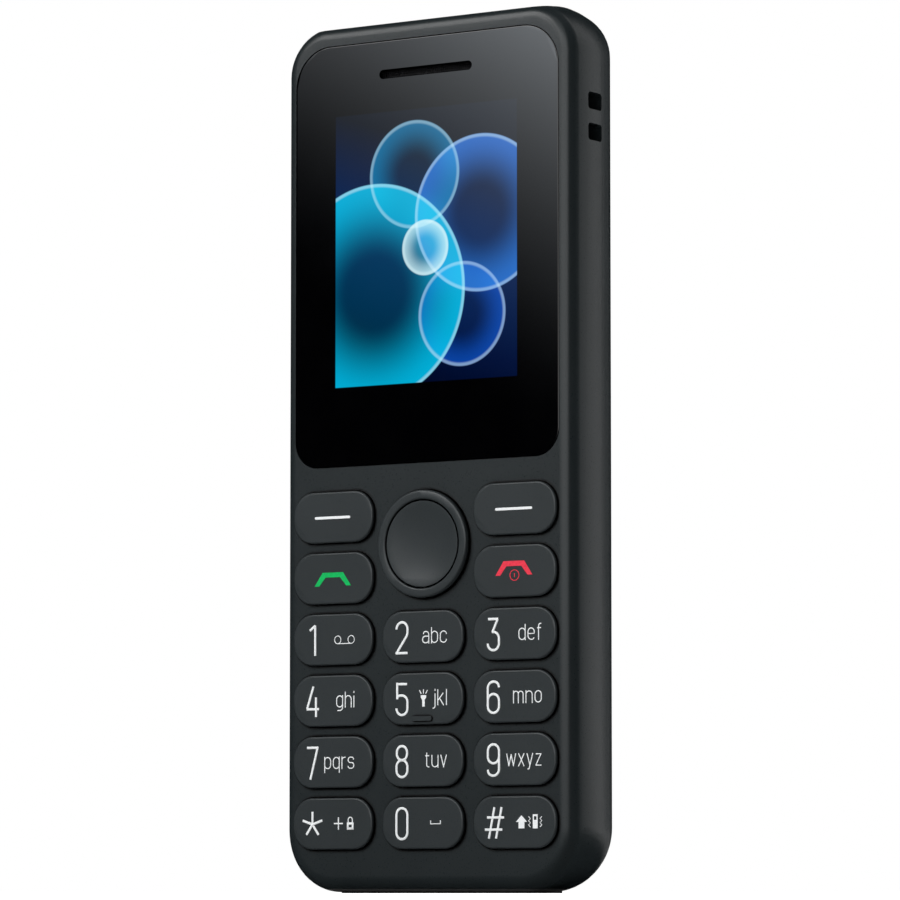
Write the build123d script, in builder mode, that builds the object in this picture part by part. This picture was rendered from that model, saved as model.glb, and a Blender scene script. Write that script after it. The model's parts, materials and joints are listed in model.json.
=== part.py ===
from build123d import *
from math import sqrt
import os

# A candybar mobile phone with a keypad, standing on its foot.
# Millimetres. +Z runs up the phone, the face looks along -Y, +X is the viewer's right.
# The origin is under the middle of the whole phone, on the surface that it stands on.
# A depth is measured from the face towards the back, a height from the foot.

# Body
body_width = 44.6
body_height = 110.85
body_depth = 12.9
top_corner_radius = 6.5
bottom_corner_radius = 8.0
front_edge_radius = 2.1
back_radius = 6.0
top_trim = 0.46
foot_lift = 0.1
foot_back_margin = 3.4
side_wall = 1.4
front_wall = 1.5
back_wall = 1.2
inner_edge_radius = 0.3
cover_depth = 2.4

# Clearances, and how far a cut runs past what it cuts
slide_gap = 0.12
tilt_gap = 0.18
seat_gap = 0.05
fit_gap = 0.2
shaft_gap = 0.05
overrun = 2.0

# Lens and display
lens_side_margin = 2.12
lens_top_margin = 2.57
lens_bottom_gap = 3.2
lens_top_radius = 5.2
lens_bottom_radius = 3.45
lens_thickness = 0.85
lens_edge_radius = 0.12
lens_gap = 0.08
gasket_thickness = 0.15
gasket_margin = 0.5
picture_side_margin = 6.165
picture_top_margin = 9.08
picture_bottom_margin = 10.06
panel_side_border = 1.5
panel_top_border = 1.0
panel_bottom_border = 3.8
panel_thickness = 1.4
panel_gap = 0.1
window_gap = 0.25
display_frame_wall = 0.9

# Earpiece behind the slot at the top of the lens
slot_width = 14.3
slot_height = 1.19
slot_drop = 4.28
mesh_thickness = 0.12
mesh_margin = 0.55
sound_slot_inset = 0.2
earpiece_margin = 0.35
earpiece_height = 5.2
earpiece_thickness = 2.3
earpiece_corner = 1.0

# Keys: six rows, the two upper ones without a middle key
keypad_side_margin = 2.27
keypad_bottom_margin = 5.49
key_height = 6.5
key_corner = 2.9
key_column_gap = 1.58
key_row_gap = 1.282
key_raise = 0.6
key_edge_radius = 0.22
key_flange = 0.4
key_flange_thickness = 0.5
key_travel = 0.3
tactile_bar_width = 3.1
tactile_bar_height = 0.6
tactile_bar_raise = 0.22
tactile_bar_drop = 2.5

# Navigation ring and the dished centre key
nav_key_gap = 0.93
nav_row_gap = 1.6
nav_ring_width = 1.38
nav_raise = 0.85
nav_edge_radius = 0.28
nav_carrier_flange = 0.5
nav_carrier_thickness = 0.5
nav_carrier_drop = 0.25
nav_pivot_height = 0.27
nav_pivot_radius = 0.3
nav_pivot_gap = 0.03
centre_key_raise = 0.7
centre_key_dish = 0.5
centre_key_rim = 0.22

# Keypad mat and dome switches
mat_thickness = 0.4
mat_gap = 0.1
mat_margin = 0.7
mat_corner = 6.0
nub_radius = 0.9
nub_gap = 0.05
dome_radius = 2.0
dome_height = 0.3
dome_slope = 60.0
nav_dome_radius = 1.5
nav_dome_share = 0.68

# Main board and what sits on its back
board_depth = 4.2
board_thickness = 0.8
board_corner = 5.0
board_bottom = 3.0
board_top_margin = 3.35
shield_height = 1.2
shield_wall = 0.2
large_shield_width = 28.0
large_shield_height_share = 0.5
large_shield_place_share = 0.66
small_shield_width = 24.0
small_shield_height_share = 0.26
small_shield_place_share = 0.2
sim_width = 13.0
sim_height = 14.0
sim_gap = 4.0
sim_drop = 12.4
card_width = 12.5
card_height = 14.0
card_rise = 13.6
socket_thickness = 1.25
socket_slot = 0.8
socket_slot_wall = 1.0

# Chassis behind the board, screwed to bosses in the front shell
chassis_depth = 6.3
chassis_thickness = 0.7
chassis_corner = 5.0
chassis_window_inset = 0.8
boss_inset = 2.7
upper_boss_drop = 7.25
middle_boss_rise = 4.5
boss_radius = 1.5
boss_step_radius = 2.0
screw_radius = 0.75
screw_head_radius = 1.5
screw_head_height = 0.8
screw_length = 3.0
screw_bore_depth = 3.4
screw_hole_radius = 0.95
cross_width = 0.4
cross_length = 1.7
cross_depth = 0.4
ledge_height = 1.4
ledge_width = 5.0
ledge_inset = 5.9

# Battery, its bay and its contacts
battery_side_gap = 0.9
battery_boss_gap = 3.0
battery_back_gap = 0.35
battery_bottom = 6.4
battery_corner = 1.2
bay_wall = 0.8
bay_wall_height = 2.2
contact_width = 9.0
contact_height = 3.2
contact_back = 9.0
contact_gap = 0.5
blade_count = 3
blade_pitch = 2.6
blade_width = 0.9
blade_thickness = 1.2
blade_gap = 0.1

# Loudspeaker, its seat and its slots in the rear cover
speaker_width = 16.0
speaker_height = 11.0
speaker_thickness_share = 0.7
speaker_place_share = 0.7
speaker_corner = 2.5
speaker_gap = 0.3
speaker_lip = 1.0
speaker_slot_count = 5
speaker_slot_width = 10.0
speaker_slot_height = 0.9
speaker_slot_spacing = 1.9
speaker_mesh_margin = 1.2
speaker_mesh_thickness = 0.15

# Vibration motor with its lopsided weight
motor_back_gap = 0.5
motor_length = 8.0
motor_start = 2.5
motor_place_share = 0.27
motor_lift = 0.2
motor_rib = 0.8
motor_shaft_radius = 0.35
motor_shaft_inset = 1.5
motor_weight_inset = 0.05
motor_weight_length = 3.0
motor_weight_gap = 0.6

# Headphone socket in the top end
jack_boss_gap = 1.7
jack_depth = 6.6
jack_width = 6.0
jack_thickness = 4.6
jack_length = 14.2
jack_nose_radius = 2.3
jack_bore_radius = 1.8

# Torch in the top end
torch_boss_gap = 2.4
torch_depth = 6.6
torch_lens_radius = 1.8
torch_flange_radius = 2.3
torch_flange_thickness = 0.8
torch_gap = 0.1
torch_led_width = 3.0
torch_led_height = 2.0
torch_led_thickness = 2.6

# Charging socket and microphone in the bottom end
usb_width = 7.6
usb_thickness = 2.6
usb_length = 5.0
usb_wall = 0.35
usb_setback = 0.2
usb_tongue_width = 4.4
usb_tongue_thickness = 0.6
usb_opening_gap = 0.25
microphone_offset = 7.5
microphone_width = 3.0
microphone_height = 2.2
microphone_thickness = 1.0
microphone_hole_radius = 0.5

# Antenna strip on the back of the chassis
antenna_gap = 2.3
antenna_height = 6.0
antenna_strip = 2.0
antenna_thickness = 0.15
antenna_top_margin = 8.85

# Strap eyelets: two holes in the right side, joined behind the bar between them
strap_hole_width = 3.25
strap_hole_height = 2.15
strap_hole_corner = 0.45
strap_hole_depth = 5.25
strap_drop = 12.15
strap_pitch = 3.92
strap_reach = 2.6
strap_bar = 1.3
strap_pocket_wall = 0.6

# Rear cover
cover_lip = 0.8
cover_lip_length = 1.0
cover_lip_root = 0.8
cover_gap = 0.15
thumb_notch_width = 8.0
thumb_notch_height = 0.9
thumb_notch_depth = 1.0

# Places worked out from the sizes above: the keypad from the foot up
front_reach = max(nav_raise, centre_key_raise, key_raise)
face_y = (front_reach - body_depth) / 2
keypad_width = body_width - 2 * keypad_side_margin
key_width = (keypad_width - 2 * key_column_gap) / 3
key_column_pitch = key_width + key_column_gap
key_row_pitch = key_height + key_row_gap
bottom_row_centre = keypad_bottom_margin + key_height / 2

# Key names from the bottom row up, left to right
key_rows = [
    ("key_star", "key_0", "key_hash"),
    ("key_7", "key_8", "key_9"),
    ("key_4", "key_5", "key_6"),
    ("key_1", "key_2", "key_3"),
    ("call_key", None, "end_key"),
    ("soft_key_left", None, "soft_key_right"),
]
key_places = {}
for row_index, row in enumerate(key_rows):
    for column_index, key_name in enumerate(row):
        if key_name:
            key_x = (column_index - 1) * key_column_pitch
            key_places[key_name] = (key_x, bottom_row_centre + row_index * key_row_pitch)
soft_row_centre = key_places["soft_key_left"][1]
call_row_centre = key_places["call_key"][1]
keypad_top = soft_row_centre + key_height / 2
keypad_bottom = bottom_row_centre - key_height / 2
nav_centre = (soft_row_centre + call_row_centre) / 2
nav_room_across = key_column_pitch - key_width / 2 - nav_key_gap
nav_room_down = nav_centre - key_places["key_2"][1] - key_height / 2 - nav_row_gap
nav_radius = min(nav_room_across, nav_room_down)
centre_key_radius = nav_radius - nav_ring_width
nav_carrier_radius = nav_radius + nav_carrier_flange
nav_dome_offset = nav_radius * nav_dome_share

# The lens above the keypad, with the picture and the sound slot in it
lens_width = body_width - 2 * lens_side_margin
lens_bottom = keypad_top + lens_bottom_gap
lens_top = body_height - lens_top_margin
slot_centre = lens_top - slot_drop
earpiece_width = slot_width + 2 * earpiece_margin
picture_width = lens_width - 2 * picture_side_margin
picture_bottom = lens_bottom + picture_bottom_margin
picture_top = lens_top - picture_top_margin
lens_pocket_depth = lens_thickness + gasket_thickness
panel_front = lens_thickness + seat_gap
panel_back = panel_front + panel_thickness
panel_width = picture_width + 2 * panel_side_border
panel_height = picture_top - picture_bottom + panel_top_border + panel_bottom_border
panel_centre = picture_bottom - panel_bottom_border + panel_height / 2
display_frame_width = panel_width + 2 * panel_gap + 2 * display_frame_wall
display_frame_height = panel_height + 2 * panel_gap + 2 * display_frame_wall

# Layers behind the face
inside_depth = front_wall + seat_gap
key_flange_front = inside_depth + seat_gap
key_back = key_flange_front + key_flange_thickness
mat_front = key_back + key_travel + mat_gap
mat_back = mat_front + mat_thickness
dome_front = board_depth - dome_height
board_back = board_depth + board_thickness
chassis_back = chassis_depth + chassis_thickness
nav_carrier_front = inside_depth + nav_carrier_drop - seat_gap
nav_ring_back = nav_carrier_front - nav_pivot_height - nav_pivot_gap

# The mouth of the front shell at the seam, and what has to pass through it
seam_depth = body_depth - cover_depth
foot_back = body_depth - foot_back_margin
foot_width = body_width - 2 * bottom_corner_radius
inner_back_radius = back_radius - side_wall
inner_back_depth = body_depth - back_wall
inner_top = body_height - side_wall
mouth_drop = seam_depth - (inner_back_depth - inner_back_radius)
mouth_half = body_width / 2 - back_radius + sqrt(inner_back_radius**2 - mouth_drop**2)
mouth_end = body_width / 2 - mouth_half
lip_half = mouth_half - cover_gap
inner_half = lip_half - cover_gap - fit_gap
boss_spread = inner_half - boss_inset
ledge_spread = inner_half - ledge_inset
upper_boss_height = body_height - upper_boss_drop
middle_boss_height = keypad_top + middle_boss_rise
boss_places = []
for boss_height in (upper_boss_height, middle_boss_height):
    boss_places.append((-boss_spread, boss_height))
    boss_places.append((boss_spread, boss_height))

# Battery below the middle bosses, and the pieces above it
battery_width = 2 * (inner_half - bay_wall - fit_gap - battery_side_gap)
battery_top = middle_boss_height - battery_boss_gap
battery_height = battery_top - battery_bottom
battery_centre = (battery_bottom + battery_top) / 2
battery_front = chassis_back + seat_gap
battery_thickness = inner_back_depth - battery_back_gap - battery_front
sim_spread = (sim_width + sim_gap) / 2
sim_places = [(-sim_spread, battery_top - sim_drop), (sim_spread, battery_top - sim_drop)]
card_places = [(0, battery_bottom + card_rise)]
contact_bottom = battery_top + contact_gap
contact_centre = contact_bottom + contact_height / 2
jack_offset = -(boss_spread - boss_step_radius - jack_boss_gap - jack_width / 2)
jack_bottom = inner_top - seat_gap - jack_length
torch_offset = boss_spread - boss_step_radius - torch_boss_gap - torch_flange_radius
upper_zone_bottom = contact_bottom + contact_height
upper_zone_height = jack_bottom - upper_zone_bottom
speaker_centre = upper_zone_bottom + upper_zone_height * speaker_place_share
speaker_back = inner_back_depth - speaker_mesh_thickness - speaker_gap
speaker_front = speaker_back - (speaker_back - chassis_back) * speaker_thickness_share
motor_height = upper_zone_bottom + upper_zone_height * motor_place_share
motor_radius = (inner_back_depth - motor_back_gap - chassis_back - motor_lift) / 2
motor_weight_radius = motor_radius - motor_weight_inset
motor_depth = chassis_back + motor_lift + motor_radius
antenna_left = jack_offset + jack_width / 2 + antenna_gap
antenna_right = boss_spread - screw_head_radius - antenna_gap
antenna_top = body_height - antenna_top_margin
strap_upper_height = body_height - strap_drop
strap_lower_height = strap_upper_height - strap_pitch
strap_centre = (strap_upper_height + strap_lower_height) / 2

os.makedirs("parts", exist_ok=True)


def layer(depth):
    """The plane at a depth behind the face: sketch x is X and sketch y is Z."""
    return Plane.XZ.offset(-(face_y + depth))


def level(height):
    """The plane at a height above the foot: sketch x is X and sketch y is Y."""
    return Plane.XY.offset(height)


def save(piece, name):
    """Label a finished piece and write it."""
    piece.part.label = name
    export_step(piece.part, "parts/" + name + ".step")


def tall_outline(width, bottom, top, bottom_radius, top_radius):
    """An upright outline whose bottom and top corners have their own radii."""
    with BuildSketch(mode=Mode.PRIVATE) as outline:
        with Locations((0, (bottom + top) / 2)):
            Rectangle(width, top - bottom)
        fillet(outline.vertices().group_by(Axis.Y)[-1], top_radius)
        fillet(outline.vertices().group_by(Axis.Y)[0], bottom_radius)
    return outline.sketch


def body_outline(inset):
    """The phone's outline from the front, drawn in by an inset."""
    return tall_outline(
        body_width - 2 * inset,
        max(inset, foot_lift),
        body_height - inset + top_trim,
        bottom_corner_radius - inset,
        top_corner_radius - inset,
    )


def lens_outline(margin):
    """The lens outline, larger all round by a margin."""
    return tall_outline(
        lens_width + 2 * margin,
        lens_bottom - margin,
        lens_top + margin,
        lens_bottom_radius + margin,
        lens_top_radius + margin,
    )


def rounded_body(inset, front_depth, back_depth, front_radius):
    """The phone's form, drawn in by an inset: rounded front and back, with its top trimmed flat."""
    with BuildPart() as form:
        with BuildSketch(layer(front_depth)):
            add(body_outline(inset))
        extrude(amount=-(back_depth - front_depth))
        fillet(form.faces().sort_by(Axis.Y)[0].edges(), front_radius)
        fillet(form.faces().sort_by(Axis.Y)[-1].edges(), back_radius - inset)
        with BuildSketch(level(body_height - inset)):
            with Locations((0, face_y + (front_depth + back_depth) / 2)):
                Rectangle(body_width, body_depth)
        extrude(amount=top_trim + overrun, mode=Mode.SUBTRACT)
    return form.part


def rounded_block(width, height, place, front_depth, back_depth, corner):
    """A block with rounded upright edges, between two depths."""
    with BuildPart() as piece:
        with BuildSketch(layer(front_depth)):
            with Locations(place):
                RectangleRounded(width, height, corner)
        extrude(amount=-(back_depth - front_depth))
    return piece


def make_key(place, with_bar):
    """A pill-shaped key with a flange that stops it behind the front wall."""
    with BuildPart() as key:
        with BuildSketch(layer(-key_raise)):
            with Locations(place):
                RectangleRounded(key_width, key_height, key_corner)
        extrude(amount=-(key_raise + key_back))
        fillet(key.faces().sort_by(Axis.Y)[0].edges(), key_edge_radius)
        with BuildSketch(layer(key_flange_front)):
            with Locations(place):
                RectangleRounded(
                    key_width + 2 * key_flange, key_height + 2 * key_flange, key_corner + key_flange
                )
        extrude(amount=-key_flange_thickness)
        if with_bar:
            with BuildSketch(layer(-key_raise)):
                with Locations((place[0], place[1] - tactile_bar_drop)):
                    SlotOverall(tactile_bar_width, tactile_bar_height)
            extrude(amount=tactile_bar_raise)
    return key


# Front shell: face, side walls, key openings, strap eyelets and screw bosses
outer_form = rounded_body(0, 0, body_depth, front_edge_radius)
cavity_form = rounded_body(side_wall, front_wall, inner_back_depth, inner_edge_radius)
with BuildPart() as front_shell:
    add(outer_form)
    add(cavity_form, mode=Mode.SUBTRACT)
    split(bisect_by=layer(seam_depth), keep=Keep.TOP)
    with BuildSketch(layer(front_wall)):
        with Locations(*boss_places):
            Circle(boss_radius)
    extrude(amount=-(chassis_depth - front_wall))
    with BuildSketch(layer(front_wall)):
        with Locations(*boss_places):
            Circle(boss_step_radius)
    extrude(amount=-(board_depth - front_wall))
    with BuildSketch(layer(front_wall)):
        with Locations((-ledge_spread, side_wall), (ledge_spread, side_wall)):
            Rectangle(ledge_width, 2 * ledge_height)
    extrude(amount=-(chassis_depth - front_wall))
    with BuildSketch(layer(strap_hole_depth - strap_hole_width / 2 - strap_pocket_wall)):
        with Locations((body_width / 2 - side_wall / 2, strap_centre)):
            Rectangle(
                2 * (strap_reach + strap_pocket_wall) - side_wall,
                strap_pitch + strap_hole_height + 2 * strap_pocket_wall,
            )
    extrude(amount=-(strap_hole_width + 2 * strap_pocket_wall), mode=Mode.ADD)
    add(outer_form, mode=Mode.INTERSECT)
    with BuildSketch(level(0)):
        with Locations((0, face_y + (front_edge_radius + foot_back) / 2)):
            Rectangle(foot_width, foot_back - front_edge_radius)
    extrude(amount=side_wall - fit_gap)
    with BuildSketch(layer(chassis_depth)):
        with Locations(*boss_places):
            Circle(screw_radius + seat_gap)
    extrude(amount=screw_bore_depth, mode=Mode.SUBTRACT)
    with BuildSketch(layer(-overrun)):
        add(lens_outline(lens_gap))
    extrude(amount=-(overrun + lens_pocket_depth), mode=Mode.SUBTRACT)
    with BuildSketch(layer(0)):
        with Locations((0, panel_centre)):
            Rectangle(panel_width + 2 * window_gap, panel_height + 2 * window_gap)
        with Locations((0, slot_centre)):
            SlotOverall(slot_width - 2 * sound_slot_inset, slot_height)
    extrude(amount=-(front_wall + seat_gap), mode=Mode.SUBTRACT)
    with BuildSketch(layer(-overrun)):
        with Locations(*key_places.values()):
            RectangleRounded(key_width + 2 * slide_gap, key_height + 2 * slide_gap, key_corner + slide_gap)
        with Locations((0, nav_centre)):
            Circle(nav_radius + tilt_gap)
    extrude(amount=-(overrun + inside_depth), mode=Mode.SUBTRACT)
    with BuildSketch(Plane.YZ.offset(body_width / 2 - strap_reach)):
        with Locations(
            (face_y + strap_hole_depth, strap_upper_height),
            (face_y + strap_hole_depth, strap_lower_height),
        ):
            RectangleRounded(strap_hole_width, strap_hole_height, strap_hole_corner)
    extrude(amount=strap_reach + overrun, mode=Mode.SUBTRACT)
    with BuildSketch(Plane.YZ.offset(body_width / 2 - strap_reach)):
        with Locations((face_y + strap_hole_depth, strap_centre)):
            Rectangle(strap_hole_width, strap_pitch)
    extrude(amount=strap_reach - strap_bar, mode=Mode.SUBTRACT)
    with BuildSketch(level(inner_top - overrun)):
        with Locations((jack_offset, face_y + jack_depth)):
            Circle(jack_nose_radius + seat_gap)
        with Locations((torch_offset, face_y + torch_depth)):
            Circle(torch_lens_radius + seat_gap)
    extrude(amount=2 * overrun + side_wall, mode=Mode.SUBTRACT)
    with BuildSketch(level(-overrun)):
        with Locations((0, face_y + board_back + usb_thickness / 2)):
            Rectangle(usb_width + 2 * usb_opening_gap, usb_thickness + 2 * usb_opening_gap)
        with Locations((microphone_offset, face_y + board_back + microphone_thickness / 2)):
            Circle(microphone_hole_radius)
    extrude(amount=overrun + side_wall + seat_gap, mode=Mode.SUBTRACT)
save(front_shell, "front_shell")

# Rear cover: the back behind the seam, with a lip that nests in the front shell
with BuildPart() as rear_cover:
    add(outer_form)
    add(cavity_form, mode=Mode.SUBTRACT)
    split(bisect_by=layer(seam_depth), keep=Keep.BOTTOM)
    with BuildSketch(layer(seam_depth - cover_lip_length)):
        for lip_inset, lip_mode in ((0, Mode.ADD), (cover_lip, Mode.SUBTRACT)):
            lip_end = mouth_end + cover_gap + lip_inset
            lip_corner = bottom_corner_radius - lip_end
            lip_width = 2 * lip_half - 2 * lip_inset
            add(
                tall_outline(lip_width, lip_end, body_height - lip_end, lip_corner, lip_corner),
                mode=lip_mode,
            )
    extrude(amount=-(cover_lip_length + cover_lip_root))
    with BuildSketch(layer(inner_back_depth)):
        with Locations((0, speaker_centre)):
            with GridLocations(0, speaker_slot_spacing, 1, speaker_slot_count):
                SlotOverall(speaker_slot_width, speaker_slot_height)
    extrude(amount=-(back_wall + overrun), mode=Mode.SUBTRACT)
    with BuildSketch(layer(seam_depth)):
        with Locations((0, 0)):
            Rectangle(thumb_notch_width, 2 * thumb_notch_height)
    extrude(amount=-thumb_notch_depth, mode=Mode.SUBTRACT)
save(rear_cover, "rear_cover")

# Screen lens with its sound slot, and the adhesive gasket that holds it
with BuildPart() as screen_lens:
    with BuildSketch(layer(0)):
        add(lens_outline(0))
    extrude(amount=-lens_thickness)
    fillet(screen_lens.faces().sort_by(Axis.Y)[0].edges(), lens_edge_radius)
    with BuildSketch(layer(-overrun)):
        with Locations((0, slot_centre)):
            SlotOverall(slot_width, slot_height)
    extrude(amount=-(overrun + lens_pocket_depth), mode=Mode.SUBTRACT)
save(screen_lens, "screen_lens")

with BuildPart() as lens_gasket:
    with BuildSketch(layer(lens_thickness)):
        add(lens_outline(-gasket_margin))
        with Locations((0, panel_centre)):
            Rectangle(panel_width + 2 * window_gap, panel_height + 2 * window_gap, mode=Mode.SUBTRACT)
        with Locations((0, slot_centre)):
            mesh_room = 2 * mesh_margin + 2 * seat_gap
            SlotOverall(slot_width + mesh_room, slot_height + mesh_room, mode=Mode.SUBTRACT)
    extrude(amount=-gasket_thickness)
save(lens_gasket, "lens_gasket")

# Earpiece mesh behind the slot, and the earpiece
with BuildPart() as earpiece_mesh:
    with BuildSketch(layer(lens_thickness)):
        with Locations((0, slot_centre)):
            SlotOverall(slot_width + 2 * mesh_margin, slot_height + 2 * mesh_margin)
    extrude(amount=-mesh_thickness)
save(earpiece_mesh, "earpiece_mesh")

earpiece_back = inside_depth + earpiece_thickness
earpiece = rounded_block(
    earpiece_width, earpiece_height, (0, slot_centre), inside_depth, earpiece_back, earpiece_corner
)
save(earpiece, "earpiece")

# Display panel in its frame; the frame stands on the main board
display_panel = rounded_block(
    panel_width, panel_height, (0, panel_centre), panel_front, panel_back, panel_gap
)
save(display_panel, "display_panel")

with BuildPart() as display_frame:
    with BuildSketch(layer(inside_depth)):
        with Locations((0, panel_centre)):
            RectangleRounded(display_frame_width, display_frame_height, display_frame_wall)
    extrude(amount=-(board_depth - inside_depth))
    with BuildSketch(layer(inside_depth)):
        with Locations((0, panel_centre)):
            Rectangle(panel_width + 2 * panel_gap, panel_height + 2 * panel_gap)
    extrude(amount=-(panel_back - inside_depth), mode=Mode.SUBTRACT)
save(display_frame, "display_frame")

# Keys
for key_name, key_place in key_places.items():
    save(make_key(key_place, key_name == "key_5"), key_name)

# Navigation ring, the carrier under it and the dished centre key
ring_bore = centre_key_radius + tilt_gap
with BuildPart() as nav_ring:
    with BuildSketch(layer(-nav_raise)):
        with Locations((0, nav_centre)):
            Circle(nav_radius)
            Circle(ring_bore, mode=Mode.SUBTRACT)
    extrude(amount=-(nav_raise + nav_ring_back))
    fillet(nav_ring.faces().sort_by(Axis.Y)[0].edges(), nav_edge_radius)
    with BuildSketch(layer(nav_ring_back)):
        pivot_offset = (nav_radius + ring_bore) / 2
        with Locations((0, nav_centre - pivot_offset), (0, nav_centre + pivot_offset)):
            Circle(nav_pivot_radius)
    extrude(amount=-nav_pivot_height)
save(nav_ring, "nav_ring")

with BuildPart() as nav_carrier:
    with BuildSketch(layer(nav_carrier_front)):
        with Locations((0, nav_centre)):
            Circle(nav_carrier_radius)
            Circle(ring_bore, mode=Mode.SUBTRACT)
    extrude(amount=-nav_carrier_thickness)
save(nav_carrier, "nav_carrier")

dish_radius = ((centre_key_radius - centre_key_rim) ** 2 + centre_key_dish**2) / (2 * centre_key_dish)
with BuildPart() as centre_key:
    with BuildSketch(layer(-centre_key_raise)):
        with Locations((0, nav_centre)):
            Circle(centre_key_radius)
    extrude(amount=-(centre_key_raise + key_back))
    with Locations((0, face_y - centre_key_raise - dish_radius + centre_key_dish, nav_centre)):
        Sphere(dish_radius, mode=Mode.SUBTRACT)
save(centre_key, "centre_key")

# Keypad mat with a nub behind each switch, and the dome switches on the board
nav_dome_places = [(0, nav_centre)]
for across, up in ((-1, 0), (1, 0), (0, -1), (0, 1)):
    nav_dome_places.append((across * nav_dome_offset, nav_centre + up * nav_dome_offset))
with BuildPart() as keypad_mat:
    with BuildSketch(layer(mat_front)):
        with Locations((0, (keypad_top + keypad_bottom) / 2)):
            mat_height = keypad_top - keypad_bottom + 2 * mat_margin
            RectangleRounded(keypad_width + mat_margin, mat_height, mat_corner)
    extrude(amount=-mat_thickness)
    with BuildSketch(layer(mat_back)):
        with Locations(*key_places.values(), *nav_dome_places):
            Circle(nub_radius)
    extrude(amount=-(dome_front - nub_gap - mat_back))
save(keypad_mat, "keypad_mat")

with BuildPart() as dome_switches:
    with BuildSketch(layer(board_depth)):
        with Locations(*key_places.values(), nav_dome_places[0]):
            Circle(dome_radius)
        with Locations(*nav_dome_places[1:]):
            Circle(nav_dome_radius)
    extrude(amount=dome_height, taper=dome_slope)
save(dome_switches, "dome_switches")

# Main board with room for the bosses and the headphone socket
board_height = body_height - board_bottom - board_top_margin
with BuildPart() as main_board:
    with BuildSketch(layer(board_depth)):
        with Locations((0, board_bottom + board_height / 2)):
            RectangleRounded(2 * inner_half, board_height, board_corner)
        with Locations(*boss_places):
            Circle(boss_radius + fit_gap, mode=Mode.SUBTRACT)
        with Locations((jack_offset, jack_bottom - fit_gap + body_height / 2)):
            Rectangle(jack_width + 2 * fit_gap, body_height, mode=Mode.SUBTRACT)
    extrude(amount=-board_thickness)
save(main_board, "main_board")

with BuildPart() as shield_cans:
    for shield_width, height_share, place_share in (
        (large_shield_width, large_shield_height_share, large_shield_place_share),
        (small_shield_width, small_shield_height_share, small_shield_place_share),
    ):
        shield_length = upper_zone_height * height_share
        shield_centre = upper_zone_bottom + upper_zone_height * place_share
        with BuildSketch(layer(board_back)):
            with Locations((0, shield_centre)):
                Rectangle(shield_width, shield_length)
        extrude(amount=-shield_height)
        with BuildSketch(layer(board_back)):
            with Locations((0, shield_centre)):
                Rectangle(shield_width - 2 * shield_wall, shield_length - 2 * shield_wall)
        extrude(amount=-(shield_height - shield_wall), mode=Mode.SUBTRACT)
save(shield_cans, "shield_cans")


def card_sockets(width, height, places):
    """Card sockets on the back of the board, each with a slot open at its upper end."""
    with BuildPart() as sockets:
        with BuildSketch(layer(board_back)):
            with Locations(*places):
                Rectangle(width, height)
        extrude(amount=-socket_thickness)
        with BuildSketch(layer(board_back + (socket_thickness - socket_slot) / 2)):
            with Locations(*places):
                with Locations((0, socket_slot_wall)):
                    Rectangle(width - 2 * socket_slot_wall, height)
        extrude(amount=-socket_slot, mode=Mode.SUBTRACT)
    return sockets


save(card_sockets(sim_width, sim_height, sim_places), "sim_sockets")
save(card_sockets(card_width, card_height, card_places), "memory_card_socket")

# Chassis: a plate on the bosses, with the battery bay, speaker seat and motor cradle
chassis_margin = side_wall + fit_gap
with BuildPart() as chassis:
    with BuildSketch(layer(chassis_depth)):
        with Locations((0, body_height / 2)):
            RectangleRounded(2 * inner_half, body_height - 2 * chassis_margin, chassis_corner)
    extrude(amount=-chassis_thickness)
    with BuildSketch(layer(chassis_back)):
        with Locations((0, battery_centre)):
            bay_room = 2 * fit_gap + 2 * bay_wall
            RectangleRounded(battery_width + bay_room, battery_height + bay_room, battery_corner + bay_wall)
            Rectangle(battery_width + 2 * fit_gap, battery_height + 2 * fit_gap, mode=Mode.SUBTRACT)
    extrude(amount=-bay_wall_height)
    with BuildSketch(layer(chassis_back)):
        with Locations((0, speaker_centre)):
            RectangleRounded(speaker_width, speaker_height, speaker_corner)
            Rectangle(speaker_width - 2 * speaker_lip, speaker_height - 2 * speaker_lip, mode=Mode.SUBTRACT)
    extrude(amount=-(speaker_front - chassis_back))
    rib_offset = motor_radius + fit_gap + motor_rib / 2
    with BuildSketch(layer(chassis_back)):
        with Locations(
            (motor_start + motor_length / 2, motor_height - rib_offset),
            (motor_start + motor_length / 2, motor_height + rib_offset),
        ):
            Rectangle(motor_length, motor_rib)
    extrude(amount=-(motor_depth - chassis_back))
    with BuildSketch(layer(chassis_depth)):
        with Locations(*boss_places):
            Circle(screw_hole_radius)
        for window_places, window_width, window_height in (
            (sim_places, sim_width, sim_height),
            (card_places, card_width, card_height),
        ):
            with Locations(*window_places):
                Rectangle(window_width - 2 * chassis_window_inset, window_height - 2 * chassis_window_inset)
        with Locations((0, contact_centre)):
            Rectangle(contact_width + 2 * fit_gap, contact_height + 2 * contact_gap + 2 * fit_gap)
        with Locations((jack_offset, jack_bottom - fit_gap + body_height / 2)):
            Rectangle(jack_width + 2 * fit_gap, body_height)
        torch_cut_bottom = inner_top - torch_flange_thickness - torch_led_height - torch_gap - 2 * fit_gap
        with Locations((torch_offset, torch_cut_bottom + body_height / 2)):
            Rectangle(2 * torch_flange_radius + 2 * fit_gap, body_height)
        with Locations((0, 0)):
            Rectangle(usb_width + 2 * fit_gap, 2 * (usb_setback + usb_length + fit_gap))
    extrude(amount=-(chassis_thickness + bay_wall_height), mode=Mode.SUBTRACT)
save(chassis, "chassis")

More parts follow.
